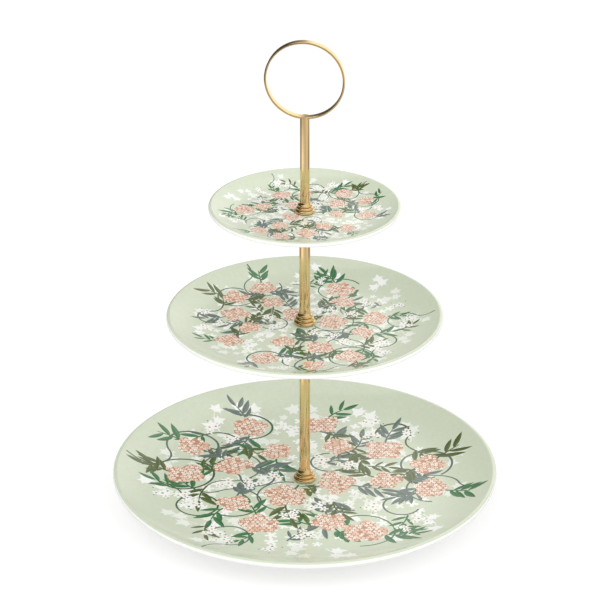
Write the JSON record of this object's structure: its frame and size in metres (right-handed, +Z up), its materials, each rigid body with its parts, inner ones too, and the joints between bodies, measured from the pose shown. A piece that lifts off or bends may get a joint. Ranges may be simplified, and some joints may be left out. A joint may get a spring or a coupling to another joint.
{
  "type": "tiered cake stand",
  "caption": "Tiered cake stand: round coupe plates stacked on a slim gold column that screws together, with a ring handle on top.",
  "frame": {"origin": "on the column's axis, on the plane that the bottom plate's foot ring stands on", "axes": "+Z up along the column; the ring handle lies in the XZ plane, so its axis is Y"},
  "size_m": [0.27, 0.27, 0.338],
  "materials": {
    "glazed_porcelain": "gloss glaze, sage green face with printed flowers, white rim and underside",
    "gold_metal": "polished pale gold plating",
    "plain_brass": "turned brass, unpolished",
    "clear_gasket": "matt translucent rubber"
  },
  "bodies": {
    "base": {"bottom_plate": "glazed_porcelain", "base_bolt": "gold_metal", "base_washer": "gold_metal", "base_gasket": "clear_gasket", "lower_seat_gasket": "clear_gasket"},
    "lower_collar": {"lower_bell": "gold_metal"},
    "lower_column": {"lower_tube": "gold_metal", "lower_foot_insert": "plain_brass", "lower_head_insert": "plain_brass", "middle_support_washer": "gold_metal", "middle_under_gasket": "clear_gasket"},
    "middle_tier": {"middle_plate": "glazed_porcelain", "middle_seat_gasket": "clear_gasket"},
    "middle_collar": {"middle_bell": "gold_metal"},
    "upper_column": {"upper_tube": "gold_metal", "upper_foot_stud": "plain_brass", "upper_head_insert": "plain_brass", "top_support_washer": "gold_metal", "top_under_gasket": "clear_gasket"},
    "top_tier": {"top_plate": "glazed_porcelain", "handle_seat_gasket": "clear_gasket"},
    "handle_collar": {"handle_bell": "gold_metal"},
    "handle": {"handle_tube": "gold_metal", "handle_foot_stud": "plain_brass", "handle_plug": "gold_metal", "handle_ring": "gold_metal"}
  },
  "joints": [
    {"name": "lower_column_lift", "type": "slide", "parent": "base", "child": "lower_collar", "axis": [0, 0, 1], "range_m": [0, 0.007]},
    {"name": "lower_column_unscrew", "type": "hinge", "parent": "lower_collar", "child": "lower_column", "pos_m": [0, 0, 0.0107], "axis": [0, 0, 1], "range_deg": [0, 3600]},
    {"name": "middle_plate_turn", "type": "hinge", "parent": "lower_column", "child": "middle_tier", "pos_m": [0, 0, 0.129], "axis": [0, 0, 1], "continuous": true},
    {"name": "upper_column_lift", "type": "slide", "parent": "lower_column", "child": "middle_collar", "axis": [0, 0, 1], "range_m": [0, 0.007]},
    {"name": "upper_column_unscrew", "type": "hinge", "parent": "middle_collar", "child": "upper_column", "pos_m": [0, 0, 0.1333], "axis": [0, 0, 1], "range_deg": [0, 3600]},
    {"name": "top_plate_turn", "type": "hinge", "parent": "upper_column", "child": "top_tier", "pos_m": [0, 0, 0.2126], "axis": [0, 0, 1], "continuous": true},
    {"name": "handle_lift", "type": "slide", "parent": "upper_column", "child": "handle_collar", "axis": [0, 0, 1], "range_m": [0, 0.007]},
    {"name": "handle_unscrew", "type": "hinge", "parent": "handle_collar", "child": "handle", "pos_m": [0, 0, 0.2165], "axis": [0, 0, 1], "range_deg": [0, 3600]}
  ],
  "couplings": [
    {"joint": "lower_column_unscrew", "follows": "lower_column_lift", "rad_per_m": 8976},
    {"joint": "upper_column_unscrew", "follows": "upper_column_lift", "rad_per_m": 8976},
    {"joint": "handle_unscrew", "follows": "handle_lift", "rad_per_m": 8976}
  ]
}
